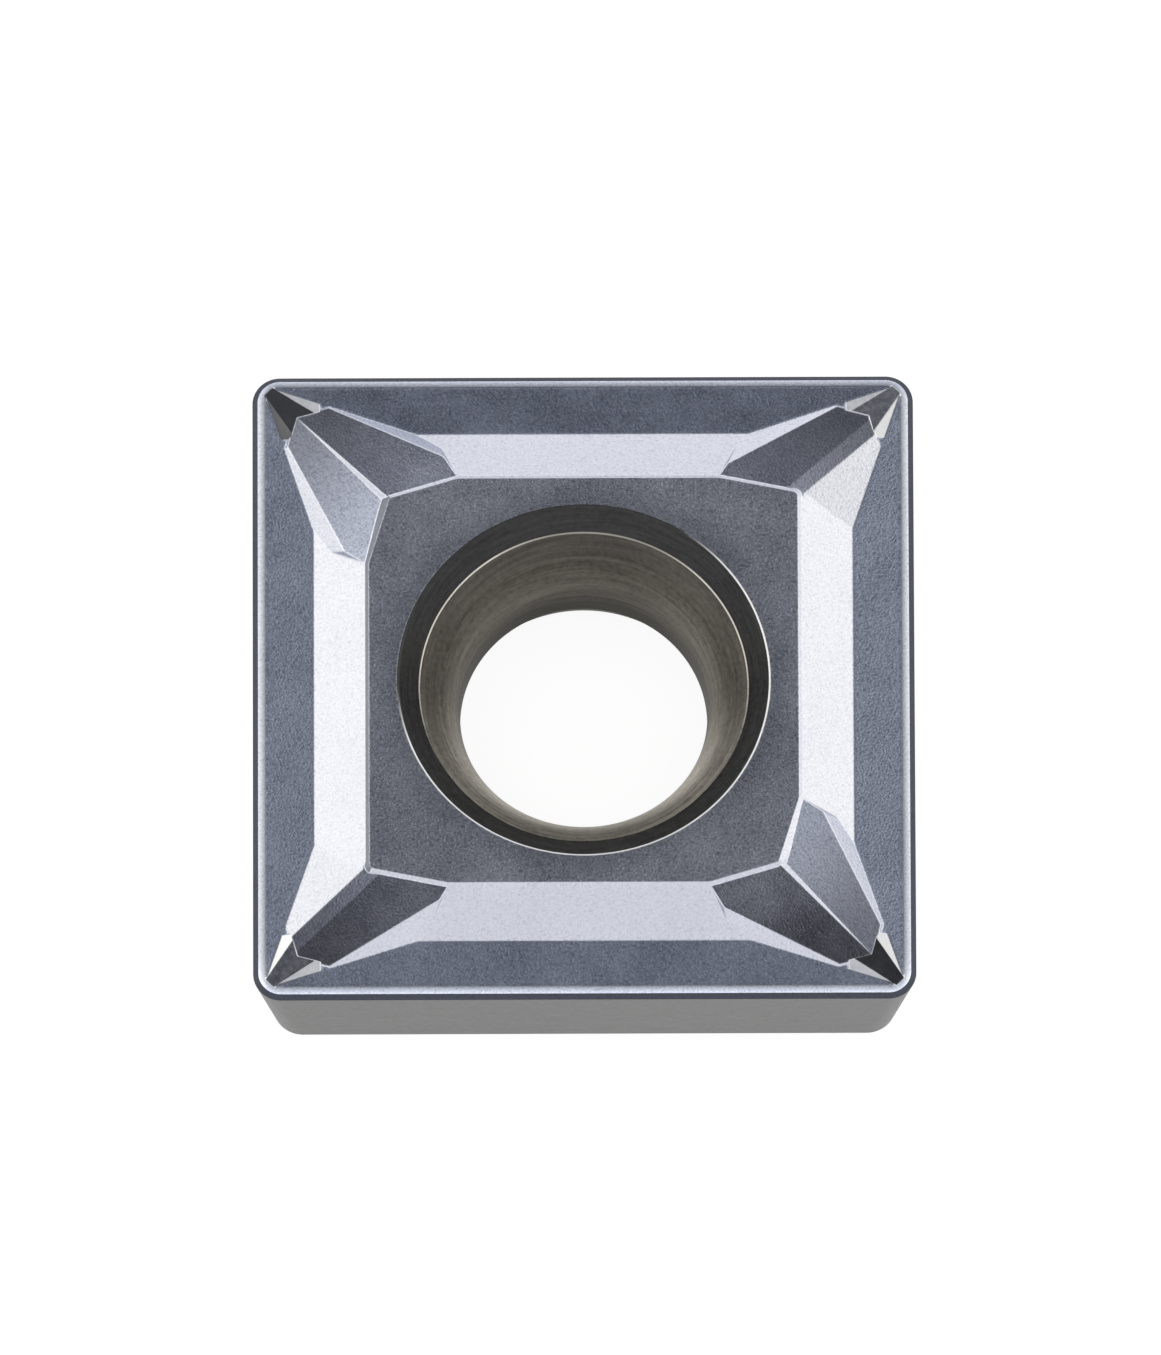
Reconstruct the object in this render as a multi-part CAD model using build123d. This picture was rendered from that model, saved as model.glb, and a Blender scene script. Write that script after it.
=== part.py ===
# Square positive-rake turning insert with a raised chip breaker and a countersunk screw hole.
# The origin is the centre of the flat seat underneath, with +Z running up along the screw hole.
# All sizes are in millimetres and all angles in degrees.

from math import radians, tan
import os

from build123d import *

# Body
side_length = 9.525
edge_height = 2.38
clearance_angle = 7.0
nose_radius = 0.40
seat_corner_radius = 0.43
seat_break = 0.05

# Cutting edge, measured inward from the outline
hone_width = 0.075
hone_angle = 36.0
edge_land_width = 0.115
edge_land_angle = 17.0

# Chip breaker, measured inward from the outline
rake_angle = 4.5
valley_inset = 0.88
land_inset = 1.62
form_rise = 0.215
land_step = 0.04
land_step_width = 0.05
land_corner_radius = 0.12

# Corner ridges, measured from the sharp corner of the outline
ridge_start = 0.20
ridge_start_spread = 0.12
valley_bend = 2.35
facet_reach = 2.95
half_facet_reach = 2.80
facet_end_skew = 0.45
facet_tip = 0.62
facet_tip_rise = 0.0
facet_tip_across = 0.53
facet_tip_along = 0.95
full_land_corner = 1.93
half_land_corner = 1.86
ridge_flank_angle = 41.0
half_flank_angle = 31.0
ridge_front_angle = 55.0
facet_end_angle = 62.0
ridge_step_drop = 0.045
ridge_step_angle = 32.0
half_ridge_flat_depth = 0.015

# Low tongue between each ridge and the nose
tongue_inset = 0.17
tongue_start = 0.23
tongue_rise = 0.02
tongue_flank_angle = 14.0
tongue_front_angle = 45.0
tongue_overlap = 0.02

# Overlap of joined and cut shapes, so that they meet without a seam
pocket_overrun = 0.05
form_root = 0.12
block_margin = 0.6

# Screw hole, depths measured down from the land around it
hole_mouth_radius = 2.675
hole_rim_break = 0.028
countersink_radius = 2.37
countersink_depth = 0.31
throat_radius = 1.78
throat_top_depth = 1.62
throat_length = 0.28
relief_radius = 2.00
hole_bottom_break = 0.06

# Sizes that follow from the ones above
half_side = side_length / 2
hone_drop = hone_width * tan(radians(hone_angle))
edge_land_drop = edge_land_width * tan(radians(edge_land_angle))
hone_top = edge_height - edge_land_drop
flank_top = hone_top - hone_drop
seat_length = side_length - 2 * (flank_top - seat_break) * tan(radians(clearance_angle))
rake_inset = hone_width + edge_land_width
rake_slope = tan(radians(rake_angle))
valley_drop = (valley_inset - rake_inset) * rake_slope
form_top = edge_height + form_rise
overall_height = form_top + land_step
slope_gradient = (form_rise + valley_drop) / (land_inset - valley_inset)
pocket_depth = valley_drop + pocket_overrun
form_depth = valley_drop + form_root
form_reach = facet_reach + block_margin


# Body: stacked stages from the seat up to the cutting edge

def stage(lower_height, lower_side, lower_radius, upper_height, upper_side, upper_radius):
    lower = Pos(0, 0, lower_height) * RectangleRounded(lower_side, lower_side, lower_radius)
    upper = Pos(0, 0, upper_height) * RectangleRounded(upper_side, upper_side, upper_radius)
    return loft([lower, upper], ruled=True)


def make_body():
    hone_side = side_length - 2 * hone_width
    rim_side = side_length - 2 * rake_inset
    seat_stage = stage(
        0, seat_length - 2 * seat_break, seat_corner_radius - seat_break,
        seat_break, seat_length, seat_corner_radius,
    )
    flank_stage = stage(
        seat_break, seat_length, seat_corner_radius,
        flank_top, side_length, nose_radius,
    )
    hone_stage = stage(
        flank_top, side_length, nose_radius,
        hone_top, hone_side, nose_radius - hone_width,
    )
    edge_land_stage = stage(
        hone_top, hone_side, nose_radius - hone_width,
        edge_height, rim_side, nose_radius - rake_inset,
    )
    return seat_stage + flank_stage + hone_stage + edge_land_stage


# Rake: four faces falling inward from the cutting edge

def make_rake_pocket():
    mouth_side = side_length - 2 * rake_inset
    floor_side = mouth_side - 2 * pocket_depth / rake_slope
    mouth = Pos(0, 0, edge_height) * Rectangle(mouth_side, mouth_side)
    floor = Pos(0, 0, edge_height - pocket_depth) * Rectangle(floor_side, floor_side)
    return loft([floor, mouth], ruled=True)


# Boss: four slopes rising from the valley towards the land around the hole

def make_boss():
    foot_inset = valley_inset - (form_depth - valley_drop) / slope_gradient
    foot_side = side_length - 2 * foot_inset
    top_side = side_length - 2 * land_inset
    foot = Pos(0, 0, edge_height - form_depth) * Rectangle(foot_side, foot_side)
    top = Pos(0, 0, form_top) * Rectangle(top_side, top_side)
    return loft([foot, top], ruled=True)


# Corner ridges, laid out in a corner frame: x and y are distances from the two edges, z from the rim

def rake_height(distance):
    return -(distance - rake_inset) * rake_slope


def face_through(first, second, third):
    normal = (second - first).cross(third - first)
    if normal.Z < 0:
        normal = -normal
    return Plane(origin=first, x_dir=(second - first).normalized(), z_dir=normal.normalized())


def rising_face(start, end, angle):
    along = end - start
    left = Vector(-along.Y, along.X, 0).normalized()
    return face_through(start, end, start + left + Vector(0, 0, tan(radians(angle))))


def mirrored(point):
    return Vector(point.Y, point.X, point.Z)


def height_on(face, x, y):
    normal = face.z_dir
    fall = normal.X * (x - face.origin.X) + normal.Y * (y - face.origin.Y)
    return face.origin.Z - fall / normal.Z


def point_on(face, x, y):
    return Vector(x, y, height_on(face, x, y))


def flat_along(first, second, top, depth):
    along = first.z_dir.cross(second.z_dir)
    across = Vector(-along.Y, along.X, 0)
    lowered = top - Vector(0, 0, depth)
    return face_through(lowered, lowered + along.normalized(), lowered + across.normalized())


def mirrored_face(face):
    normal = face.z_dir
    return Plane(origin=mirrored(face.origin), z_dir=(normal.Y, normal.X, normal.Z))


def below(shape, faces):
    for face in faces:
        shape = split(shape, bisect_by=face, keep=Keep.BOTTOM)
    return shape


def above(shape, faces):
    for face in faces:
        shape = split(shape, bisect_by=face, keep=Keep.TOP)
    return shape


ridge_near = Vector(ridge_start, ridge_start + ridge_start_spread, rake_height(ridge_start))
ridge_bend = Vector(valley_inset, valley_bend, rake_height(valley_inset))
facet_far = Vector(land_inset, facet_reach, form_rise)
half_far = Vector(land_inset, half_facet_reach, form_rise)
facet_near = Vector(facet_tip, facet_tip, facet_tip_rise)
full_corner = Vector(full_land_corner, full_land_corner, form_rise)
half_corner = Vector(land_inset, half_land_corner, form_rise)
steep_flank = rising_face(ridge_bend, ridge_near, ridge_flank_angle)
mild_flank = rising_face(ridge_bend, ridge_near, half_flank_angle)

# Facets of a full ridge: a high one, and past the diagonal a low one at the foot of a small step
high_facet = face_through(facet_far, full_corner, facet_near)
low_facet = face_through(mirrored(facet_far), full_corner - Vector(0, 0, ridge_step_drop), facet_near)
ridge_step = rising_face(facet_near, full_corner, ridge_step_angle)

# Faces of a half ridge: one facet, and one broad flank running on from the slope
broad_flank = face_through(ridge_near, ridge_bend, half_corner)
half_facet = face_through(mirrored(half_far), half_corner, facet_near)

# The nose end of every ridge
ridge_shoulder = point_on(high_facet, facet_tip_across, facet_tip_along)
ridge_front = rising_face(ridge_shoulder, facet_near, ridge_front_angle)


def facet_end(facet, far):
    inner = mirrored(far)
    outer = point_on(facet, far.Y - facet_end_skew, valley_inset)
    return rising_face(outer, inner, facet_end_angle)


def corner_block(reach):
    return Box(reach, reach, form_depth + form_rise, align=Align.MIN).moved(Pos(0, 0, -form_depth))


def make_full_ridge():
    end_face = facet_end(mirrored_face(high_facet), facet_far)
    flanks = [steep_flank, mirrored_face(steep_flank)]
    ends = [ridge_front, mirrored_face(ridge_front), end_face, mirrored_face(end_face)]
    return below(corner_block(form_reach), flanks + ends)


def make_half_ridge():
    flanks = [broad_flank, mirrored_face(mild_flank)]
    ends = [ridge_front, mirrored_face(ridge_front), facet_end(half_facet, half_far)]
    return below(corner_block(form_reach), flanks + ends)


# Tongue: a low wedge with a narrow flat top that carries each ridge out to the nose

def make_tongue():
    flank = rising_face(ridge_bend, ridge_near, tongue_flank_angle)
    top = face_through(ridge_near, mirrored(ridge_near), Vector(facet_tip, facet_tip, tongue_rise))
    nose = Vector(tongue_start, tongue_start, rake_height(tongue_start))
    front = rising_face(nose, nose + Vector(1, -1, 0), tongue_front_angle)
    tip = facet_tip + tongue_overlap
    across = facet_tip_across + tongue_overlap
    along = facet_tip_along + tongue_overlap
    wedge = below(corner_block(along), [flank, mirrored_face(flank), top, front])
    outline = Polyline(
        (tongue_inset, tongue_inset), (along, tongue_inset), (along, across),
        (tip, tip), (across, along), (tongue_inset, along), close=True,
    )
    trim = extrude(Pos(0, 0, -form_depth) * make_face(outline), form_depth + form_rise)
    return wedge & trim


# Chip breaker form: the boss with all four ridges, cut to the facets, and the land on top

def corner_place(quarter):
    return Rot(0, 0, 90 * quarter) * Pos(-half_side, -half_side, edge_height)


def cut_to_facets(form, quarter):
    if quarter % 2 == 0:
        ridge_flat = flat_along(half_facet, broad_flank, half_corner, half_ridge_flat_depth)
        return below(form, [half_facet, ridge_flat])
    step_space = above(corner_block(form_reach), [low_facet, ridge_step])
    return below(form, [high_facet]) - step_space


def land_outline(growth):
    points = []
    for quarter in range(4):
        corner = [half_corner, mirrored(half_far)]
        if quarter % 2 == 1:
            corner = [facet_far, full_corner, mirrored(facet_far)]
        for point in corner:
            place = corner_place(quarter) * Pos(point.X, point.Y, 0)
            points.append((place.position.X, place.position.Y))
    outline = make_face(offset(Polyline(*points, close=True), growth, kind=Kind.INTERSECTION))
    return fillet(outline.vertices(), land_corner_radius + growth)


def make_land():
    foot = Pos(0, 0, form_top - land_step) * land_outline(land_step_width)
    top = Pos(0, 0, overall_height) * land_outline(-land_step_width)
    return loft([foot, top], ruled=True)


def make_form():
    form = make_boss()
    for quarter in range(4):
        ridge = make_half_ridge() if quarter % 2 == 0 else make_full_ridge()
        form = form + corner_place(quarter) * ridge
    for quarter in range(4):
        place = corner_place(quarter)
        form = cut_to_facets(form.moved(place.inverse()), quarter).moved(place)
    for quarter in range(4):
        form = form + corner_place(quarter) * make_tongue()
    return form + make_land()


# Screw hole: a countersink, a curved seat for the screw head, a throat and a relief

def make_hole():
    seat_top = overall_height - countersink_depth
    seat_bottom = overall_height - throat_top_depth
    throat_bottom = seat_bottom - throat_length
    seat_drop = seat_top - seat_bottom
    seat_width = countersink_radius - throat_radius
    seat_curve = (seat_width ** 2 + seat_drop ** 2) / (2 * seat_width)
    cone_slope = (hole_mouth_radius - countersink_radius) / countersink_depth
    rim_radius = hole_mouth_radius + hole_rim_break
    rim_foot_radius = hole_mouth_radius - hole_rim_break * cone_slope
    foot_radius = relief_radius + 2 * hole_bottom_break
    open_top = overall_height + countersink_depth
    upper = Polyline(
        (0, -hole_bottom_break), (0, open_top), (rim_radius, open_top), (rim_radius, overall_height),
        (rim_foot_radius, overall_height - hole_rim_break), (countersink_radius, seat_top),
    )
    seat = RadiusArc((countersink_radius, seat_top), (throat_radius, seat_bottom), -seat_curve)
    lower = Polyline(
        (throat_radius, seat_bottom), (throat_radius, throat_bottom), (relief_radius, hole_bottom_break),
        (foot_radius, -hole_bottom_break), (0, -hole_bottom_break),
    )
    profile = make_face(upper + seat + lower)
    return revolve(Plane.XZ * profile, axis=Axis.Z)


def make_insert():
    insert = make_body() - make_rake_pocket()
    insert = insert + make_form()
    return insert - make_hole()


os.makedirs("parts", exist_ok=True)
insert = make_insert()
export_step(insert, "parts/insert.step")
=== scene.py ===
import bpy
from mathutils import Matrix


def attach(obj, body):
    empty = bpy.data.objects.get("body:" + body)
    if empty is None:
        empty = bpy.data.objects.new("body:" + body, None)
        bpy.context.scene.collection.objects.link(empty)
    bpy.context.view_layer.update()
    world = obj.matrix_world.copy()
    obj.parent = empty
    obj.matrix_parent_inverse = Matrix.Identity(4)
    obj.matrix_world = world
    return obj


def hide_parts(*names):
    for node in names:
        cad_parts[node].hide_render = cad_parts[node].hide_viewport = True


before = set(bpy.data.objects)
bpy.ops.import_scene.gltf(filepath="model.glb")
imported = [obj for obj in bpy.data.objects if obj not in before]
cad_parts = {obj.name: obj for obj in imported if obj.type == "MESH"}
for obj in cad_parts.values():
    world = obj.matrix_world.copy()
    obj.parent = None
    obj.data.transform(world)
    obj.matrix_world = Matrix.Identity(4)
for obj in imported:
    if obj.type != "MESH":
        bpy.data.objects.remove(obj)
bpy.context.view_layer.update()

import math

import bmesh
import bpy
from mathutils import Matrix, Vector

MM = 0.001

# Shape of the insert in millimetres and degrees, the same sizes as the solid
SIDE = 9.525
EDGE_HEIGHT = 2.38
CLEARANCE = 7.0
NOSE_RADIUS = 0.40
SEAT_RADIUS = 0.43
SEAT_BREAK = 0.05
HONE_WIDTH = 0.075
HONE_ANGLE = 36.0
EDGE_LAND_WIDTH = 0.115
EDGE_LAND_ANGLE = 17.0
RAKE_ANGLE = 4.5
VALLEY_INSET = 0.88
LAND_INSET = 1.62
FORM_RISE = 0.215
LAND_STEP = 0.04
LAND_STEP_WIDTH = 0.05
LAND_CORNER_RADIUS = 0.12
RIDGE_START = 0.20
RIDGE_START_SPREAD = 0.12
VALLEY_BEND = 2.35
FACET_REACH = 2.95
HALF_FACET_REACH = 2.80
FACET_END_SKEW = 0.45
FACET_TIP = 0.62
FACET_TIP_RISE = 0.0
FACET_TIP_ACROSS = 0.53
FACET_TIP_ALONG = 0.95
FULL_LAND_CORNER = 1.93
HALF_LAND_CORNER = 1.86
RIDGE_FLANK_ANGLE = 41.0
HALF_FLANK_ANGLE = 31.0
RIDGE_FRONT_ANGLE = 55.0
FACET_END_ANGLE = 62.0
RIDGE_STEP_DROP = 0.045
RIDGE_STEP_ANGLE = 32.0
HALF_RIDGE_FLAT = 0.015
TONGUE_INSET = 0.17
TONGUE_START = 0.23
TONGUE_RISE = 0.02
TONGUE_FLANK_ANGLE = 14.0
TONGUE_FRONT_ANGLE = 45.0
TONGUE_OVERLAP = 0.02
MOUTH_RADIUS = 2.675
RIM_BREAK = 0.028
COUNTERSINK_RADIUS = 2.37
COUNTERSINK_DEPTH = 0.31
RING_BREAK = 0.018
THROAT_RADIUS = 1.78
THROAT_TOP = 1.62
THROAT_LENGTH = 0.28
RELIEF_RADIUS = 2.00
HOLE_BREAK = 0.06

# How far forms and cutters run past the shape they make
POCKET_OVERRUN = 0.05
POCKET_ABOVE = 0.1
FORM_ROOT = 0.12
BLOCK_MARGIN = 0.6
TONGUE_MARGIN = 0.2
TONGUE_KEEP_HEIGHT = 1.0
STEP_CUTTER_LIFT = 0.01
HOLE_ABOVE = 0.2

# Fineness of the mesh
NOSE_STEPS = 24
HOLE_STEPS = 192
SEAT_STEPS = 24
LAND_CORNER_STEPS = 8
BREAK_STEPS = 4
CUT_TOLERANCE = 1e-5
MERGE_DISTANCE = 2e-5
FLAT_ANGLE = 0.15


def tangent(angle):
    return math.tan(math.radians(angle))


HALF_SIDE = SIDE / 2
HONE_DROP = HONE_WIDTH * tangent(HONE_ANGLE)
EDGE_LAND_DROP = EDGE_LAND_WIDTH * tangent(EDGE_LAND_ANGLE)
HONE_TOP = EDGE_HEIGHT - EDGE_LAND_DROP
FLANK_TOP = HONE_TOP - HONE_DROP
SEAT_LENGTH = SIDE - 2 * (FLANK_TOP - SEAT_BREAK) * tangent(CLEARANCE)
RAKE_INSET = HONE_WIDTH + EDGE_LAND_WIDTH
RAKE_SLOPE = tangent(RAKE_ANGLE)
VALLEY_DROP = (VALLEY_INSET - RAKE_INSET) * RAKE_SLOPE
FORM_TOP = EDGE_HEIGHT + FORM_RISE
OVERALL = FORM_TOP + LAND_STEP
SLOPE_GRADIENT = (FORM_RISE + VALLEY_DROP) / (LAND_INSET - VALLEY_INSET)
POCKET_DEPTH = VALLEY_DROP + POCKET_OVERRUN
FORM_DEPTH = VALLEY_DROP + FORM_ROOT
FORM_REACH = FACET_REACH + BLOCK_MARGIN


def rounded_square(side, radius, height):
    ring = []
    centre = side / 2 - radius
    for quarter in range(4):
        turn = quarter * math.pi / 2
        cx = centre * (1 if quarter in (0, 3) else -1)
        cy = centre * (1 if quarter in (0, 1) else -1)
        for step in range(NOSE_STEPS + 1):
            angle = turn + step / NOSE_STEPS * math.pi / 2
            ring.append((cx + radius * math.cos(angle), cy + radius * math.sin(angle), height))
    return ring


def square_ring(side, height):
    h = side / 2
    return [(h, h, height), (-h, h, height), (-h, -h, height), (h, -h, height)]


def stack_mesh(rings):
    """A closed mesh that joins rings of as many points each, from the lowest up."""
    count = len(rings[0])
    points = [point for ring in rings for point in ring]
    faces = [list(range(count))[::-1], [len(points) - count + i for i in range(count)]]
    for level in range(len(rings) - 1):
        for i in range(count):
            j = (i + 1) % count
            a, b = level * count, (level + 1) * count
            faces.append([a + i, a + j, b + j, b + i])
    mesh = bpy.data.meshes.new("stack")
    mesh.from_pydata(points, [], faces)
    return mesh


def body_mesh():
    return stack_mesh([
        rounded_square(SEAT_LENGTH - 2 * SEAT_BREAK, SEAT_RADIUS - SEAT_BREAK, 0),
        rounded_square(SEAT_LENGTH, SEAT_RADIUS, SEAT_BREAK),
        rounded_square(SIDE, NOSE_RADIUS, FLANK_TOP),
        rounded_square(SIDE - 2 * HONE_WIDTH, NOSE_RADIUS - HONE_WIDTH, HONE_TOP),
        rounded_square(SIDE - 2 * RAKE_INSET, NOSE_RADIUS - RAKE_INSET, EDGE_HEIGHT),
    ])


def pocket_mesh():
    """The hollow below the cutting edge, whose sides are the rake faces."""
    mouth = SIDE - 2 * RAKE_INSET
    return stack_mesh([
        square_ring(mouth - 2 * POCKET_DEPTH / RAKE_SLOPE, EDGE_HEIGHT - POCKET_DEPTH),
        square_ring(mouth + 2 * POCKET_ABOVE / RAKE_SLOPE, EDGE_HEIGHT + POCKET_ABOVE),
    ])


def boss_mesh():
    """The raised middle, whose sides are the slopes."""
    foot = VALLEY_INSET - (FORM_DEPTH - VALLEY_DROP) / SLOPE_GRADIENT
    return stack_mesh([
        square_ring(SIDE - 2 * foot, EDGE_HEIGHT - FORM_DEPTH),
        square_ring(SIDE - 2 * LAND_INSET, FORM_TOP),
    ])


def mirrored(point):
    return Vector((point[1], point[0], point[2]))


class Face:
    """A plane that trims a form, with its normal pointing up."""

    def __init__(self, origin, normal):
        self.origin = Vector(origin)
        self.normal = Vector(normal)
        if self.normal.z < 0:
            self.normal.negate()

    def point(self, x, y):
        fall = self.normal.x * (x - self.origin.x) + self.normal.y * (y - self.origin.y)
        return Vector((x, y, self.origin.z - fall / self.normal.z))

    def mirrored(self):
        return Face(mirrored(self.origin), mirrored(self.normal))


def face_through(first, second, third):
    first = Vector(first)
    return Face(first, (Vector(second) - first).cross(Vector(third) - first).normalized())


def rising_face(start, end, angle):
    """A plane through a line, that rises to the left of it."""
    along = Vector(end) - Vector(start)
    left = Vector((-along.y, along.x, 0)).normalized()
    return face_through(start, end, Vector(start) + left + Vector((0, 0, tangent(angle))))


def rake_height(distance):
    return -(distance - RAKE_INSET) * RAKE_SLOPE


# The ridge of one corner: x and y run inward from the outline's corner, z up from the cutting edge
RIDGE_NEAR = Vector((RIDGE_START, RIDGE_START + RIDGE_START_SPREAD, rake_height(RIDGE_START)))
RIDGE_BEND = Vector((VALLEY_INSET, VALLEY_BEND, rake_height(VALLEY_INSET)))
FACET_FAR = Vector((LAND_INSET, FACET_REACH, FORM_RISE))
HALF_FAR = Vector((LAND_INSET, HALF_FACET_REACH, FORM_RISE))
FACET_NEAR = Vector((FACET_TIP, FACET_TIP, FACET_TIP_RISE))
FULL_CORNER = Vector((FULL_LAND_CORNER, FULL_LAND_CORNER, FORM_RISE))
LOW_CORNER = FULL_CORNER - Vector((0, 0, RIDGE_STEP_DROP))
HALF_CORNER = Vector((LAND_INSET, HALF_LAND_CORNER, FORM_RISE))
STEEP_FLANK = rising_face(RIDGE_BEND, RIDGE_NEAR, RIDGE_FLANK_ANGLE)
MILD_FLANK = rising_face(RIDGE_BEND, RIDGE_NEAR, HALF_FLANK_ANGLE)
HIGH_FACET = face_through(FACET_FAR, FULL_CORNER, FACET_NEAR)
LOW_FACET = face_through(mirrored(FACET_FAR), LOW_CORNER, FACET_NEAR)
RIDGE_STEP = rising_face(FACET_NEAR, FULL_CORNER, RIDGE_STEP_ANGLE)
BROAD_FLANK = face_through(RIDGE_NEAR, RIDGE_BEND, HALF_CORNER)
HALF_FACET = face_through(mirrored(HALF_FAR), HALF_CORNER, FACET_NEAR)
TIP_SIDE = HIGH_FACET.point(FACET_TIP_ACROSS, FACET_TIP_ALONG)
RIDGE_FRONT = rising_face(TIP_SIDE, FACET_NEAR, RIDGE_FRONT_ANGLE)


def facet_end(facet, far):
    """The plane that ends a facet toward the middle of its side."""
    near = facet.point(far.y - FACET_END_SKEW, VALLEY_INSET)
    return rising_face(near, mirrored(far), FACET_END_ANGLE)


def flat_along(first, second, top, depth):
    """The plane that flattens the crest between two planes, some way below a point of it."""
    along = first.normal.cross(second.normal).normalized()
    across = Vector((-along.y, along.x, 0)).normalized()
    lowered = top - Vector((0, 0, depth))
    return face_through(lowered, lowered + along, lowered + across)


def as_mesh(form):
    mesh = bpy.data.meshes.new("form")
    form.to_mesh(mesh)
    form.free()
    return mesh


def as_form(mesh):
    form = bmesh.new()
    form.from_mesh(mesh)
    return form


def block(reach):
    form = bmesh.new()
    bmesh.ops.create_cube(form, size=1.0)
    height = FORM_DEPTH + FORM_RISE
    bmesh.ops.scale(form, vec=(reach, reach, height), verts=form.verts)
    middle = (reach / 2, reach / 2, FORM_RISE - height / 2)
    bmesh.ops.translate(form, vec=middle, verts=form.verts)
    return form


def trim(form, faces, keep_below=True):
    """Cut a form by planes and close the cuts."""
    for face in faces:
        geometry = form.verts[:] + form.edges[:] + form.faces[:]
        bmesh.ops.bisect_plane(form, geom=geometry, dist=CUT_TOLERANCE,
                               plane_co=face.origin, plane_no=face.normal,
                               clear_outer=keep_below, clear_inner=not keep_below)
        edges = [item for item in form.edges if item.is_boundary]
        if edges:
            bmesh.ops.holes_fill(form, edges=edges)
    bmesh.ops.recalc_face_normals(form, faces=form.faces)
    return form


def combine(first, second, operation):
    """The exact boolean of two meshes, which are used up."""
    scene = bpy.context.scene
    target = bpy.data.objects.new("target", first)
    tool = bpy.data.objects.new("tool", second)
    for item in (target, tool):
        scene.collection.objects.link(item)
    modifier = target.modifiers.new("combine", "BOOLEAN")
    modifier.operation = operation
    modifier.solver = "EXACT"
    modifier.object = tool
    bpy.context.view_layer.update()
    evaluated = target.evaluated_get(bpy.context.evaluated_depsgraph_get())
    result = bpy.data.meshes.new_from_object(evaluated)
    bpy.data.objects.remove(target)
    bpy.data.objects.remove(tool)
    bpy.data.meshes.remove(first)
    bpy.data.meshes.remove(second)
    return result


def merge_flats(mesh):
    """Join points that meet and faces that lie in one plane."""
    form = as_form(mesh)
    bmesh.ops.remove_doubles(form, verts=form.verts, dist=MERGE_DISTANCE)
    bmesh.ops.dissolve_limit(form, angle_limit=math.radians(FLAT_ANGLE),
                             verts=form.verts, edges=form.edges)
    form.to_mesh(mesh)
    form.free()
    return mesh


def corner_place(quarter):
    """From the frame of one corner to that of the insert; even corners carry the half ridges."""
    turn = Matrix.Rotation(quarter * math.pi / 2, 4, "Z")
    return turn @ Matrix.Translation((-HALF_SIDE, -HALF_SIDE, EDGE_HEIGHT))


def placed(mesh, quarter):
    mesh.transform(corner_place(quarter))
    return mesh


def full_ridge():
    end = facet_end(HIGH_FACET.mirrored(), FACET_FAR)
    ends = [RIDGE_FRONT, RIDGE_FRONT.mirrored(), end, end.mirrored()]
    return trim(block(FORM_REACH), [STEEP_FLANK, STEEP_FLANK.mirrored()] + ends)


def half_ridge():
    ends = [RIDGE_FRONT, RIDGE_FRONT.mirrored(), facet_end(HALF_FACET, HALF_FAR)]
    return trim(block(FORM_REACH), [BROAD_FLANK, MILD_FLANK.mirrored()] + ends)


def tongue():
    """The small wedge from the tip of a ridge to the nose."""
    flank = rising_face(RIDGE_BEND, RIDGE_NEAR, TONGUE_FLANK_ANGLE)
    top = face_through(RIDGE_NEAR, mirrored(RIDGE_NEAR), (FACET_TIP, FACET_TIP, TONGUE_RISE))
    nose = Vector((TONGUE_START, TONGUE_START, rake_height(TONGUE_START)))
    front = rising_face(nose, nose + Vector((1, -1, 0)), TONGUE_FRONT_ANGLE)
    wedge = trim(block(FACET_TIP_ALONG + TONGUE_MARGIN), [flank, flank.mirrored(), top, front])
    low = TONGUE_INSET
    tip = FACET_TIP + TONGUE_OVERLAP
    across, along = FACET_TIP_ACROSS + TONGUE_OVERLAP, FACET_TIP_ALONG + TONGUE_OVERLAP
    outline = [(low, low), (along, low), (along, across), (tip, tip), (across, along), (low, along)]
    levels = (-TONGUE_KEEP_HEIGHT, TONGUE_KEEP_HEIGHT)
    keep = stack_mesh([[(x, y, z) for x, y in outline] for z in levels])
    return merge_flats(combine(as_mesh(wedge), keep, "INTERSECT"))


def cut_to_facets(mesh, quarter):
    """Cut the facets of one corner into the form."""
    mesh.transform(corner_place(quarter).inverted())
    if quarter % 2 == 0:
        crest = flat_along(HALF_FACET, BROAD_FLANK, HALF_CORNER, HALF_RIDGE_FLAT)
        mesh = as_mesh(trim(as_form(mesh), [HALF_FACET, crest]))
    else:
        mesh = merge_flats(as_mesh(trim(as_form(mesh), [HIGH_FACET])))
        tool = block(FORM_REACH)
        bmesh.ops.translate(tool, vec=(0, 0, STEP_CUTTER_LIFT), verts=tool.verts)
        tool = trim(tool, [LOW_FACET, RIDGE_STEP], keep_below=False)
        mesh = combine(mesh, as_mesh(tool), "DIFFERENCE")
    return merge_flats(placed(mesh, quarter))


def land_corners():
    points = []
    for quarter in range(4):
        corner = [HALF_CORNER, mirrored(HALF_FAR)]
        if quarter % 2 == 1:
            corner = [FACET_FAR, FULL_CORNER, mirrored(FACET_FAR)]
        points += [(corner_place(quarter) @ point).to_2d() for point in corner]
    return points


def land_ring(offset, height):
    """The outline of the land with rounded corners, grown by an offset."""
    corners = land_corners()
    reach = LAND_CORNER_RADIUS + offset
    ring = []
    for i, point in enumerate(corners):
        before = (point - corners[i - 1]).normalized()
        after = (corners[(i + 1) % len(corners)] - point).normalized()
        first = math.atan2(-before.x, before.y)
        turn = abs(before.angle_signed(after))
        inward = Vector((before.y, -before.x)) + Vector((after.y, -after.x))
        centre = point - inward.normalized() * LAND_CORNER_RADIUS / math.cos(turn / 2)
        for step in range(LAND_CORNER_STEPS + 1):
            angle = first + turn * step / LAND_CORNER_STEPS
            x, y = centre.x + reach * math.cos(angle), centre.y + reach * math.sin(angle)
            ring.append((x, y, height))
    return ring


def land_mesh():
    foot = land_ring(LAND_STEP_WIDTH, FORM_TOP - LAND_STEP)
    return stack_mesh([foot, land_ring(-LAND_STEP_WIDTH, OVERALL)])


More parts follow.
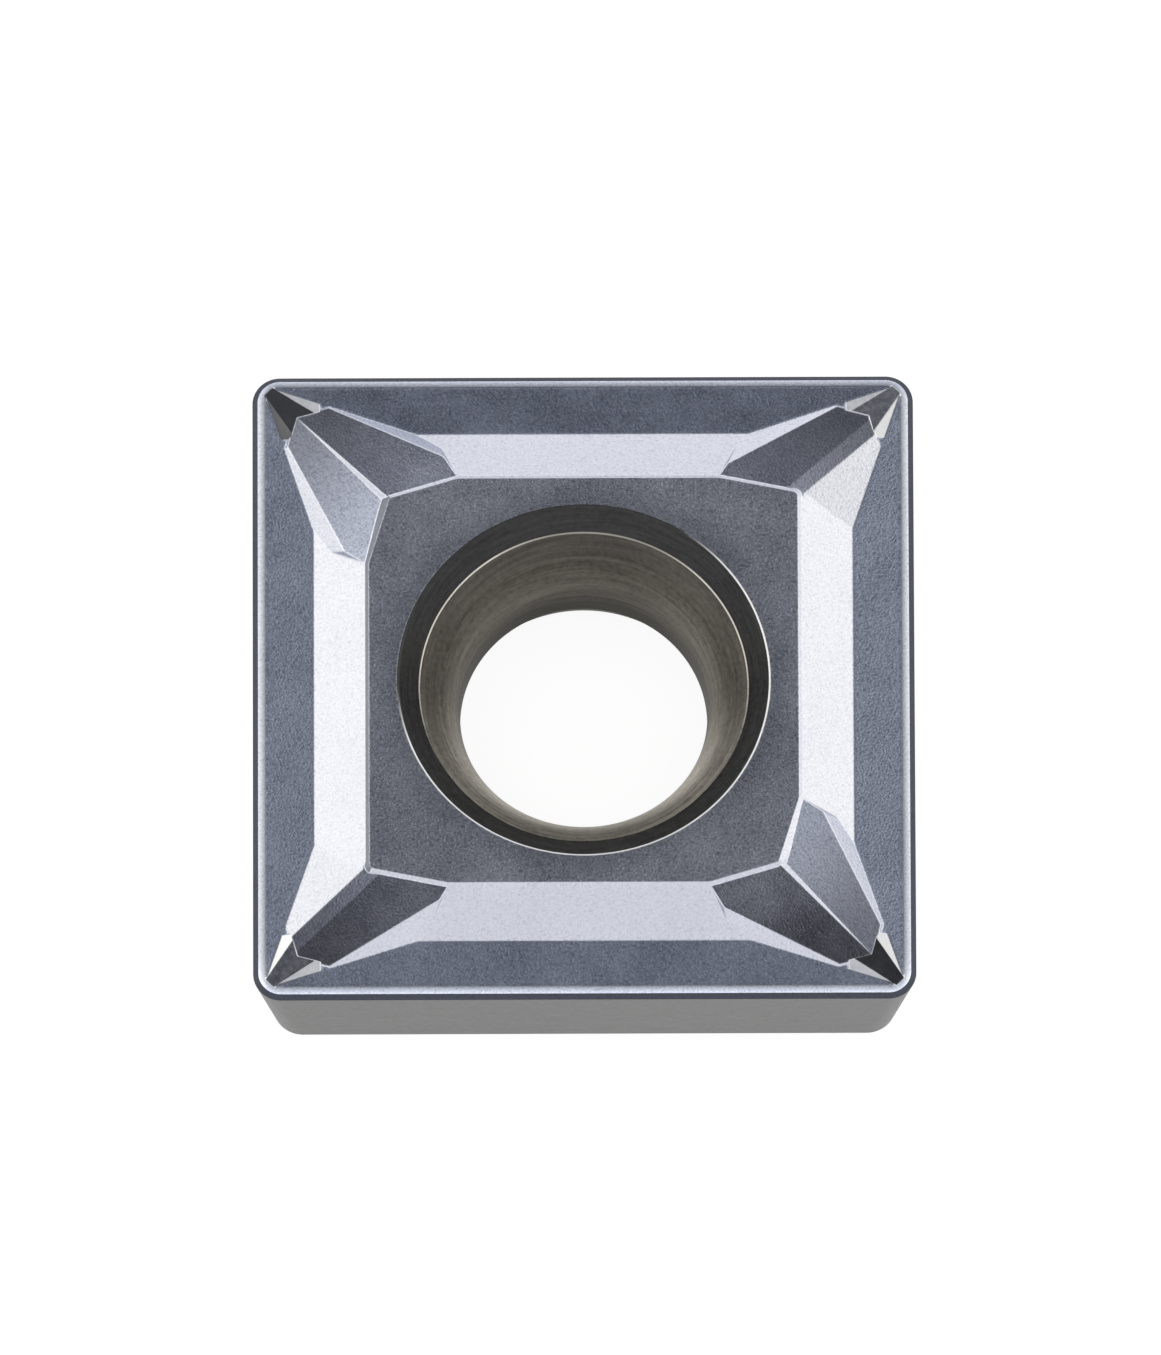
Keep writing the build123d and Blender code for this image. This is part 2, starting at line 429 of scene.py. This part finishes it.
def form_mesh():
    """All that stands in the pocket: slopes, ridges, tongues and land."""
    form = boss_mesh()
    for quarter in range(4):
        ridge = half_ridge() if quarter % 2 == 0 else full_ridge()
        form = combine(form, placed(as_mesh(ridge), quarter), "UNION")
    for quarter in range(4):
        form = cut_to_facets(form, quarter)
    for quarter in range(4):
        form = merge_flats(combine(form, placed(tongue(), quarter), "UNION"))
    return merge_flats(combine(form, land_mesh(), "UNION"))


def rounded_step(before, corner, after, size):
    """Points of a small rounding where two straight runs of the hole's profile meet.

    Of the points before and after the corner only the direction counts.
    """
    before, corner, after = Vector(before), Vector(corner), Vector(after)
    first = corner + (before - corner).normalized() * size
    last = corner + (after - corner).normalized() * size
    points = []
    for step in range(BREAK_STEPS + 1):
        t = step / BREAK_STEPS
        points.append(tuple(first * (1 - t) ** 2 + corner * 2 * t * (1 - t) + last * t ** 2))
    return points


def hole_profile():
    """Radius and height down the hole: rim, countersink, arc of the screw seat, throat, relief."""
    width = COUNTERSINK_RADIUS - THROAT_RADIUS
    drop = THROAT_TOP - COUNTERSINK_DEPTH
    curve = (width ** 2 + drop ** 2) / (2 * width)
    span = math.asin(drop / curve)
    seat = []
    for step in range(SEAT_STEPS + 1):
        angle = span * (1 - step / SEAT_STEPS)
        radius = THROAT_RADIUS + curve * (1 - math.cos(angle))
        seat.append((radius, OVERALL - THROAT_TOP + curve * math.sin(angle)))
    mouth = (MOUTH_RADIUS, OVERALL)
    land = (MOUTH_RADIUS + 1, OVERALL)
    points = [(MOUTH_RADIUS + RIM_BREAK, OVERALL + HOLE_ABOVE)]
    points += rounded_step(land, mouth, seat[0], RIM_BREAK)
    points += rounded_step(mouth, seat[0], seat[1], RING_BREAK)
    points += seat[1:]
    points.append((THROAT_RADIUS, OVERALL - THROAT_TOP - THROAT_LENGTH))
    points.append((RELIEF_RADIUS, HOLE_BREAK))
    points.append((RELIEF_RADIUS + 2 * HOLE_BREAK, -HOLE_BREAK))
    return points


def hole_mesh():
    rings = []
    for radius, height in reversed(hole_profile()):
        ring = []
        for step in range(HOLE_STEPS):
            angle = step / HOLE_STEPS * 2 * math.pi
            ring.append((radius * math.cos(angle), radius * math.sin(angle), height))
        rings.append(ring)
    return stack_mesh(rings)


def insert_mesh():
    shape = combine(body_mesh(), pocket_mesh(), "DIFFERENCE")
    shape = combine(shape, form_mesh(), "UNION")
    shape = combine(shape, hole_mesh(), "DIFFERENCE")
    return merge_flats(shape)


# Camera at the photograph's angle, in degrees and metres; the sensor is in millimetres
PHOTO_HEIGHT = 1355
PIXELS_PER_MM = 69.5
ELEVATION = 70.0
SIDEWAYS = -0.2
CAMERA_DISTANCE = 0.7
AIM_HEIGHT = 0.00245
AIM_PIXELS_RIGHT = -3.2
AIM_PIXELS_UP = 6.5
SENSOR = 36.0
CLIP = (0.01, 10.0)


def make_camera():
    tilt = math.radians(ELEVATION)
    turn = Matrix.Rotation(math.radians(SIDEWAYS), 3, "Z")
    back = turn @ Vector((0, -math.cos(tilt), math.sin(tilt)))
    right = turn @ Vector((1, 0, 0))
    up = back.cross(right)
    pixel = MM / PIXELS_PER_MM
    aim = Vector((0, 0, AIM_HEIGHT)) + right * AIM_PIXELS_RIGHT * pixel + up * AIM_PIXELS_UP * pixel
    data = bpy.data.cameras.new("camera")
    data.sensor_width = SENSOR
    data.lens = SENSOR * CAMERA_DISTANCE / (PHOTO_HEIGHT * pixel)
    data.clip_start, data.clip_end = CLIP
    camera = bpy.data.objects.new("camera", data)
    camera.location = aim + back * CAMERA_DISTANCE
    camera.rotation_mode = "QUATERNION"
    camera.rotation_quaternion = Matrix((right, up, back)).transposed().to_quaternion()
    bpy.context.scene.collection.objects.link(camera)
    bpy.context.scene.camera = camera


# The same for all finishes
BEVEL_SAMPLES = 8
NOISE_ROUGHNESS = 0.6


class Nodes:
    """Shorthand for building a node tree."""

    def __init__(self, tree):
        self.tree = tree
        tree.nodes.clear()

    def add(self, kind, **settings):
        node = self.tree.nodes.new(kind)
        for name, value in settings.items():
            setattr(node, name, value)
        return node

    def feed(self, socket, value):
        if isinstance(value, bpy.types.NodeSocket):
            self.tree.links.new(value, socket)
        else:
            socket.default_value = value

    def feed_all(self, node, values):
        for socket, value in zip(node.inputs, values):
            self.feed(socket, value)

    def math(self, operation, *values, clamp=False):
        node = self.add("ShaderNodeMath", operation=operation, use_clamp=clamp)
        self.feed_all(node, values)
        return node.outputs[0]

    def vector(self, operation, *values):
        node = self.add("ShaderNodeVectorMath", operation=operation)
        self.feed_all(node, values)
        return node.outputs["Value" if operation in ("LENGTH", "DOT_PRODUCT") else "Vector"]

    def ramp(self, value, span, low, high, kind="LINEAR"):
        node = self.add("ShaderNodeMapRange", interpolation_type=kind)
        self.feed(node.inputs["Value"], value)
        node.inputs["From Min"].default_value, node.inputs["From Max"].default_value = span
        node.inputs["To Min"].default_value = low
        node.inputs["To Max"].default_value = high
        return node.outputs["Result"]

    def smooth(self, value, span, low=0.0, high=1.0):
        return self.ramp(value, span, low, high, "SMOOTHSTEP")

    def mix(self, factor, first, second, blend="MIX"):
        # inputs 6 and 7 and output 2 are the node's colours
        node = self.add("ShaderNodeMix", data_type="RGBA", blend_type=blend)
        self.feed(node.inputs[0], factor)
        self.feed(node.inputs[6], first)
        self.feed(node.inputs[7], second)
        return node.outputs[2]

    def noise(self, vector, scale, detail=3.0):
        node = self.add("ShaderNodeTexNoise")
        self.feed(node.inputs["Vector"], vector)
        node.inputs["Scale"].default_value = scale
        node.inputs["Detail"].default_value = detail
        node.inputs["Roughness"].default_value = NOISE_ROUGHNESS
        return node.outputs["Fac"]

    def relief(self, height, depth, softness):
        """A bumped normal, with the edges rounded by a radius in mm."""
        bevel = self.add("ShaderNodeBevel", samples=BEVEL_SAMPLES)
        bevel.inputs["Radius"].default_value = softness * MM
        bump = self.add("ShaderNodeBump")
        bump.inputs["Strength"].default_value = 1.0
        bump.inputs["Distance"].default_value = depth
        self.feed(bump.inputs["Height"], height)
        self.feed(bump.inputs["Normal"], bevel.outputs[0])
        return bump.outputs[0]


# Studio light by direction. A ray's slant is how far it leans to the right, its side how far to
# either side and its depth how far away from the camera, each for one unit up. Every entry says
# where its light starts and is full, and later entries cover earlier ones. A small card lies at
# a slant and a depth, and its span is the distance from there.
SIDE_BALANCE = -0.008
HORIZON = 0.02
SHADE = (0.085, 0.090, 0.106, 1)
DARK_CARDS = (
    ("depth", (0.30, 0.08), (0.035, 0.037, 0.044, 1)),
    ("side", (0.06, 0.19), (0.20, 0.21, 0.25, 1)),
)
SMALL_CARDS = (
    ((-0.14, 0.50), (0.95, 0.97, 1.02, 1)),
    ((0.15, 0.25), (0.52, 0.54, 0.59, 1)),
    ((0.085, 0.07), (0.012, 0.013, 0.017, 1)),
)
SMALL_CARD_SPAN = (0.14, 0.06)
SIDE_GLOW = (1.78, 1.74, 1.66, 1)
SOFTBOXES = (
    ("slant", (-0.19, -0.52), SIDE_GLOW),
    ("slant", (0.07, 0.80), SIDE_GLOW),
    ("depth", (0.0, -0.20), (1.20, 1.20, 1.22, 1)),
    ("depth", (0.85, 1.45), (1.38, 1.38, 1.40, 1)),
)


def make_world():
    world = bpy.data.worlds.new("studio")
    bpy.context.scene.world = world
    world.use_nodes = True
    n = Nodes(world.node_tree)
    split = n.add("ShaderNodeSeparateXYZ")
    n.feed(split.inputs[0], n.add("ShaderNodeTexCoord").outputs["Generated"])
    x, y, z = split.outputs
    up = n.math("MAXIMUM", z, HORIZON)
    slant = n.math("DIVIDE", x, up)
    depth = n.math("DIVIDE", y, up)
    side = n.math("ABSOLUTE", n.math("SUBTRACT", slant, SIDE_BALANCE))
    measures = {"slant": slant, "depth": depth, "side": side}
    light = SHADE
    for measure, span, tone in DARK_CARDS:
        light = n.mix(n.smooth(measures[measure], span), light, tone)
    for place, tone in SMALL_CARDS:
        across = n.math("SUBTRACT", slant, place[0])
        along = n.math("SUBTRACT", depth, place[1])
        squares = [n.math("MULTIPLY", part, part) for part in (across, along)]
        distance = n.math("SQRT", n.math("ADD", *squares))
        light = n.mix(n.smooth(distance, SMALL_CARD_SPAN), light, tone)
    for measure, span, tone in SOFTBOXES:
        light = n.mix(n.smooth(measures[measure], span), light, tone)
    background = n.add("ShaderNodeBackground")
    n.feed(background.inputs["Color"], light)
    output = n.add("ShaderNodeOutputWorld")
    n.feed(output.inputs[0], background.outputs[0])


def new_material(name):
    material = bpy.data.materials.new(name)
    material.use_nodes = True
    n = Nodes(material.node_tree)
    shader = n.add("ShaderNodeBsdfPrincipled")
    output = n.add("ShaderNodeOutputMaterial")
    n.feed(output.inputs[0], shader.outputs[0])
    return material, n, shader


# Floor in metres, a hair below the seat so that the two don't share a plane
FLOOR_HALF = 0.6
FLOOR_DROP = 0.00002
FLOOR_COLOUR = (0.15, 0.15, 0.15, 1)
FLOOR_ROUGHNESS = 0.9
FLOOR_GLOW = 0.9


def make_floor():
    mesh = bpy.data.meshes.new("floor")
    corners = square_ring(2 * FLOOR_HALF, -FLOOR_DROP)
    mesh.from_pydata(corners, [], [(2, 3, 0, 1)])
    floor = bpy.data.objects.new("floor", mesh)
    bpy.context.scene.collection.objects.link(floor)
    material, n, shader = new_material("floor")
    shader.inputs["Base Color"].default_value = FLOOR_COLOUR
    shader.inputs["Roughness"].default_value = FLOOR_ROUGHNESS
    shader.inputs["Specular IOR Level"].default_value = 0.0
    shader.inputs["Emission Color"].default_value = (1, 1, 1, 1)
    shader.inputs["Emission Strength"].default_value = FLOOR_GLOW
    mesh.materials.append(material)


def metal(name):
    material, n, shader = new_material(name)
    shader.inputs["Metallic"].default_value = 1.0
    coords = n.add("ShaderNodeTexCoord").outputs["Object"]
    return material, n, shader, coords


# Grain of the coating: the size of its cells in metres, and the rest against that size
GRAIN_CELL = 0.000065
WARP_SCALE = 0.35
WARP_REACH = 1.6
SPECK_SCALE = 1.9
CURL_WEIGHT = 1.6
GRAIN_SPAN = (0.05, 0.6)
GRAIN_SHARE = 0.75

# Patches, grinding lines and grit: noise cells in a metre, and the part of a noise that is used
PATCH_SCALE = 900.0
GRIT_SCALE = 12000.0
NOISE_SPAN = (0.3, 0.7)
LINE_SHARE = 0.6
GRIT_HEIGHT = 0.4
GROUND_SOFTNESS = 0.02

# How far the roughness of a face strays from that of its finish
COATED_SPREAD = (-0.02, 0.03)
GROUND_SPREAD = (-0.04, 0.04)


def grain(n, coords):
    """Fine crystalline grain of a coated face: specks with curled ridges cut into them."""
    warp = n.add("ShaderNodeTexNoise")
    n.feed(warp.inputs["Vector"], coords)
    warp.inputs["Scale"].default_value = WARP_SCALE / GRAIN_CELL
    reach = (WARP_REACH * GRAIN_CELL,) * 3
    moved = n.vector("MULTIPLY_ADD", warp.outputs["Color"], reach, coords)
    ridges = n.math("ABSOLUTE", n.math("SUBTRACT", n.noise(moved, 1 / GRAIN_CELL), 0.5))
    specks = n.noise(coords, SPECK_SCALE / GRAIN_CELL, detail=2.0)
    return n.math("SUBTRACT", specks, n.math("MULTIPLY", ridges, CURL_WEIGHT))


def paint_light_along(n, coords, colour, painted_fades):
    """A colour with light and shade painted on along directions.

    Each fade is a direction, where along it the shade starts and is full in mm, and the shade.
    """
    for direction, start, end, shade in painted_fades:
        along = n.vector("DOT_PRODUCT", coords, direction)
        factor = n.smooth(along, (start * MM, end * MM), 1.0, shade)
        colour = n.mix(1.0, colour, factor, "MULTIPLY")
    return colour


def paint_light_in_rings(n, coords, colour, rings):
    """A colour with light and shade painted on in rings round the hole.

    Each ring is the half width of the square that it follows, 0 for a circle, how far outside
    that its shade starts and ends, all in mm, and the shades at both.
    """
    for square, start, end, first, last in rings:
        corner = (square * MM, square * MM, 0.0)
        outside = n.vector("SUBTRACT", n.vector("ABSOLUTE", coords), corner)
        outside = n.vector("MAXIMUM", outside, (0.0, 0.0, 0.0))
        distance = n.vector("LENGTH", n.vector("MULTIPLY", outside, (1.0, 1.0, 0.0)))
        factor = n.smooth(distance, (start * MM, end * MM), first, last)
        colour = n.mix(1.0, colour, factor, "MULTIPLY")
    return colour


def coated(name, dark, pale, roughness, depth, softness=0.03, rings=(), painted_fades=()):
    """Satin blue-grey hard coating, with a grain of some depth in metres, and light and shade
    painted on in rings and fades.
    """
    material, n, shader, coords = metal(name)
    height = grain(n, coords)
    patches = n.noise(coords, PATCH_SCALE, detail=4.0)
    specks = n.ramp(height, GRAIN_SPAN, 0.0, GRAIN_SHARE)
    tone = n.math("ADD", specks, n.ramp(patches, NOISE_SPAN, 0.0, 1 - GRAIN_SHARE), clamp=True)
    colour = paint_light_along(n, coords, paint_light_in_rings(n, coords, n.mix(tone, dark, pale), rings), painted_fades)
    polish = n.ramp(patches, NOISE_SPAN, *[roughness + part for part in COATED_SPREAD])
    n.feed(shader.inputs["Base Color"], colour)
    n.feed(shader.inputs["Roughness"], polish)
    n.feed(shader.inputs["Normal"], n.relief(height, depth, softness))
    return material


def ground(name, dark, pale, roughness, depth, lines_per_mm, stretch=0.12, painted_fades=(), edge_tint=1.0):
    """Bare carbide with fine grinding lines that run level round the part, and light and shade
    painted on in fades.
    """
    material, n, shader, coords = metal(name)
    stretched = n.vector("MULTIPLY", coords, (stretch, stretch, 1.0))
    lines = n.noise(stretched, lines_per_mm / MM)
    grit = n.noise(coords, GRIT_SCALE)
    streaks = n.ramp(lines, NOISE_SPAN, 0.0, LINE_SHARE)
    tone = n.math("ADD", streaks, n.ramp(grit, NOISE_SPAN, 0.0, 1 - LINE_SHARE), clamp=True)
    height = n.math("ADD", lines, n.math("MULTIPLY", grit, GRIT_HEIGHT))
    polish = n.ramp(grit, NOISE_SPAN, *[roughness + part for part in GROUND_SPREAD])
    n.feed(shader.inputs["Base Color"], paint_light_along(n, coords, n.mix(tone, dark, pale), painted_fades))
    n.feed(shader.inputs["Roughness"], polish)
    n.feed(shader.inputs["Normal"], n.relief(height, depth, GROUND_SOFTNESS))
    shader.inputs["Specular Tint"].default_value = (edge_tint, edge_tint, edge_tint, 1)
    return material


# Finishes, and dark copies of finishes that paint shade, in the order of make_materials
(COATING, FACET, LAND, PAINTED_SHADE_STEP, RAKE, EDGE_LAND, HONE, FLANK,
 RIM, COUNTERSINK, RING, BORE, NOSE, PAINTED_SHADE_NOSE) = range(14)

# Light and shade painted onto the finishes by place, in rings round the hole and in fades along
# directions
CIRCLE = 0.0
NOSE_CENTRE = HALF_SIDE - NOSE_RADIUS
SEAT_LEVEL = OVERALL - COUNTERSINK_DEPTH
THROAT_LEVEL = OVERALL - THROAT_TOP
# Facets painted lighter toward the middle and darker toward their tips: painted light and shade
FACET_PAINTED_SHADE = ((CIRCLE, 3.6, 5.7, 1.15, 0.55),)
# The land painted darker toward the hole: painted shade
LAND_PAINTED_SHADE = ((CIRCLE, MOUTH_RADIUS, HALF_SIDE - LAND_INSET, 0.76, 1.0),)
# The edge land painted darker along its inner side and lighter along its outer side: painted light
# and shade
EDGE_PAINTED_LIGHT_RINGS = ((NOSE_CENTRE, NOSE_RADIUS - RAKE_INSET, NOSE_RADIUS - HONE_WIDTH, 0.52, 1.2),)
# The edge land painted lighter along the near side: painted light
EDGE_PAINTED_LIGHT_FADES = (((0.0, -1.0, 0.0), 4.1, 4.6, 1.45),)
# The pale rim line is a painted highlight, painted nearly black toward the far, left side
RIM_PAINTED_HIGHLIGHT = (((-0.5, 0.85, 0.0), 0.3, 1.3, 0.06),)
# The pale ring is a painted highlight, painted dark on the near side and darker on the far side, so
# that it stays bright to the left and right
RING_PAINTED_HIGHLIGHT = (
    ((0.0, -1.0, 0.0), 0.2, 1.6, 0.10),
    ((0.1, 1.0, 0.0), 1.7, 2.3, 0.45),
)
# The countersink painted darker toward the far side: painted shade
COUNTERSINK_PAINTED_SHADE = (((0.0, 1.0, 0.0), -1.8, 0.2, 0.45),)
# The bore painted darker at its top, darker toward the throat, lighter to either side and darker on
# the far side: painted light and shade
BORE_PAINTED_LIGHT = (
    ((0.0, 0.0, 1.0), SEAT_LEVEL - 0.55, SEAT_LEVEL - 0.05, 0.45),
    ((0.0, 0.0, -1.0), -THROAT_LEVEL - 0.7, -THROAT_LEVEL + 0.1, 0.36),
    ((1.0, 0.0, 0.0), 0.4, 1.9, 1.45),
    ((-1.0, 0.0, 0.0), 0.4, 1.9, 1.30),
    ((0.0, 1.0, 0.0), -1.6, 0.2, 0.34),
)


def make_materials():
    return [
        coated("coating", (0.43, 0.445, 0.50, 1), (0.57, 0.585, 0.64, 1),
               roughness=0.19, depth=2.8e-6, softness=0.04),
        coated("facet", (0.43, 0.455, 0.515, 1), (0.75, 0.775, 0.87, 1),
               roughness=0.16, depth=1.3e-6, rings=FACET_PAINTED_SHADE),
        coated("land", (0.195, 0.206, 0.236, 1), (0.56, 0.585, 0.655, 1),
               roughness=0.20, depth=3.8e-6, rings=LAND_PAINTED_SHADE),
        # A dark copy of the coating for the left-facing faces of the land step: painted shade
        coated("painted_shade_step", (0.15, 0.155, 0.175, 1), (0.22, 0.23, 0.26, 1),
               roughness=0.25, depth=1.0e-6),
        coated("rake", (0.235, 0.257, 0.322, 1), (0.52, 0.565, 0.68, 1),
               roughness=0.20, depth=2.8e-6, softness=0.07),
        coated("edge_land", (0.28, 0.30, 0.35, 1), (0.44, 0.465, 0.53, 1),
               roughness=0.24, depth=1.6e-6, softness=0.07, rings=EDGE_PAINTED_LIGHT_RINGS, painted_fades=EDGE_PAINTED_LIGHT_FADES),
        # The hone band's near-black base is painted shade, standing for the dark that it reflects
        coated("hone", (0.046, 0.050, 0.064, 1), (0.068, 0.074, 0.092, 1),
               roughness=0.40, depth=0.6e-6),
        ground("flank", (0.138, 0.137, 0.136, 1), (0.165, 0.164, 0.162, 1),
               roughness=0.45, depth=0.6e-6, lines_per_mm=14.0),
        # Pale base of the rim line: painted highlight
        ground("rim", (0.50, 0.50, 0.51, 1), (0.66, 0.66, 0.67, 1),
               roughness=0.30, depth=0.3e-6, lines_per_mm=30.0, painted_fades=RIM_PAINTED_HIGHLIGHT),
        ground("countersink", (0.055, 0.055, 0.055, 1), (0.125, 0.125, 0.125, 1),
               roughness=0.35, depth=0.8e-6, lines_per_mm=30.0, stretch=0.05,
               painted_fades=COUNTERSINK_PAINTED_SHADE, edge_tint=0.6),
        # Pale base of the ring: painted highlight
        ground("ring", (0.50, 0.47, 0.42, 1), (0.66, 0.625, 0.56, 1),
               roughness=0.30, depth=0.3e-6, lines_per_mm=30.0, painted_fades=RING_PAINTED_HIGHLIGHT),
        ground("bore", (0.28, 0.264, 0.235, 1), (0.72, 0.675, 0.59, 1),
               roughness=0.48, depth=1.6e-6, lines_per_mm=22.0, stretch=0.035,
               painted_fades=BORE_PAINTED_LIGHT, edge_tint=0.6),
        ground("nose", (0.56, 0.57, 0.59, 1), (0.70, 0.71, 0.73, 1),
               roughness=0.16, depth=0.3e-6, lines_per_mm=9.0),
        # A dark copy of the nose finish for some outward faces of the tongues: painted shade
        ground("painted_shade_nose", (0.07, 0.07, 0.075, 1), (0.13, 0.13, 0.14, 1),
               roughness=0.20, depth=0.3e-6, lines_per_mm=9.0),
    ]


# What tells the faces of the insert apart: parts of their normals, heights in mm, and the angle
# in degrees from which an edge is sharp
HOLE_LEAN = 0.05
TONGUE_HEIGHT = 0.002
TONGUE_LEAN = 0.1
TONGUE_TOP_UP = 0.985
LAND_DEPTH = LAND_STEP / 10
LEFT_STEP_LEAN = 0.3
RAKE_UP = math.cos(math.radians(RAKE_ANGLE + 1))
FACET_UP = math.cos(math.radians(11))
SHARP_ANGLE = 4.4


def hole_zone(height, radius):
    """The finish of a face of the screw hole."""
    if height > OVERALL - RIM_BREAK and radius > MOUTH_RADIUS - RIM_BREAK / 4:
        return RIM if radius < MOUTH_RADIUS + RIM_BREAK / 2 else LAND
    if height > SEAT_LEVEL + RING_BREAK / 3:
        return COUNTERSINK
    if height > SEAT_LEVEL - RING_BREAK:
        return RING
    return BORE


def outline_inset(x, y):
    """How far a point lies inside the outline of the cutting edge."""
    if min(abs(x), abs(y)) > NOSE_CENTRE:
        return NOSE_RADIUS - math.hypot(abs(x) - NOSE_CENTRE, abs(y) - NOSE_CENTRE)
    return HALF_SIDE - max(abs(x), abs(y))


def zone(face):
    """The finish of a face of the insert, from where it lies; some faces take dark copies that
    paint shade.
    """
    centre, normal = face.calc_center_median(), face.normal
    radius = math.hypot(centre.x, centre.y)
    inward = radius > 0 and (normal.x * centre.x + normal.y * centre.y) / radius < -HOLE_LEAN
    if inward and radius < MOUTH_RADIUS + RIM_BREAK:
        return hole_zone(centre.z, radius)
    near, far = sorted((HALF_SIDE - abs(centre.x), HALF_SIDE - abs(centre.y)))
    above_rake = centre.z - EDGE_HEIGHT > rake_height(near) + TONGUE_HEIGHT
    if far < FACET_TIP_ALONG and near < FACET_TIP and above_rake:
        # Some outward faces of the tongues at the upper-left and lower-right corners take the dark
        # copy of the nose finish: painted shade
        outward = normal.x * centre.x > TONGUE_LEAN and centre.x * centre.y < 0
        return PAINTED_SHADE_NOSE if outward and (centre.x < 0 or normal.z > TONGUE_TOP_UP) else NOSE
    if centre.z < FLANK_TOP:
        return FLANK
    inset = outline_inset(centre.x, centre.y)
    if centre.z < HONE_TOP and inset < HONE_WIDTH:
        return HONE
    if centre.z < EDGE_HEIGHT and inset < RAKE_INSET:
        return EDGE_LAND
    if centre.z < EDGE_HEIGHT and normal.z > RAKE_UP:
        return RAKE
    if centre.z > OVERALL - LAND_DEPTH:
        return LAND
    # Left-facing faces of the land step take the dark copy of the coating: painted shade
    if centre.z > FORM_TOP - LAND_STEP and normal.x < -LEFT_STEP_LEAN:
        return PAINTED_SHADE_STEP
    return FACET if normal.z > FACET_UP else COATING


def make_insert():
    mesh = insert_mesh()
    form = as_form(mesh)
    for edge in form.edges:
        edge.smooth = edge.calc_face_angle(0) < math.radians(SHARP_ANGLE)
    for face in form.faces:
        face.smooth = True
        face.material_index = zone(face)
    form.to_mesh(mesh)
    form.free()
    mesh.transform(Matrix.Scale(MM, 4))
    for material in make_materials():
        mesh.materials.append(material)
    insert = bpy.data.objects.new("insert_detail", mesh)
    bpy.context.scene.collection.objects.link(insert)
    weighted = insert.modifiers.new("weighted", "WEIGHTED_NORMAL")
    weighted.keep_sharp = True
    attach(insert, "root")
    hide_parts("insert")


make_camera()
make_world()
make_floor()
make_insert()
bpy.context.scene.view_settings.view_transform = "Standard"
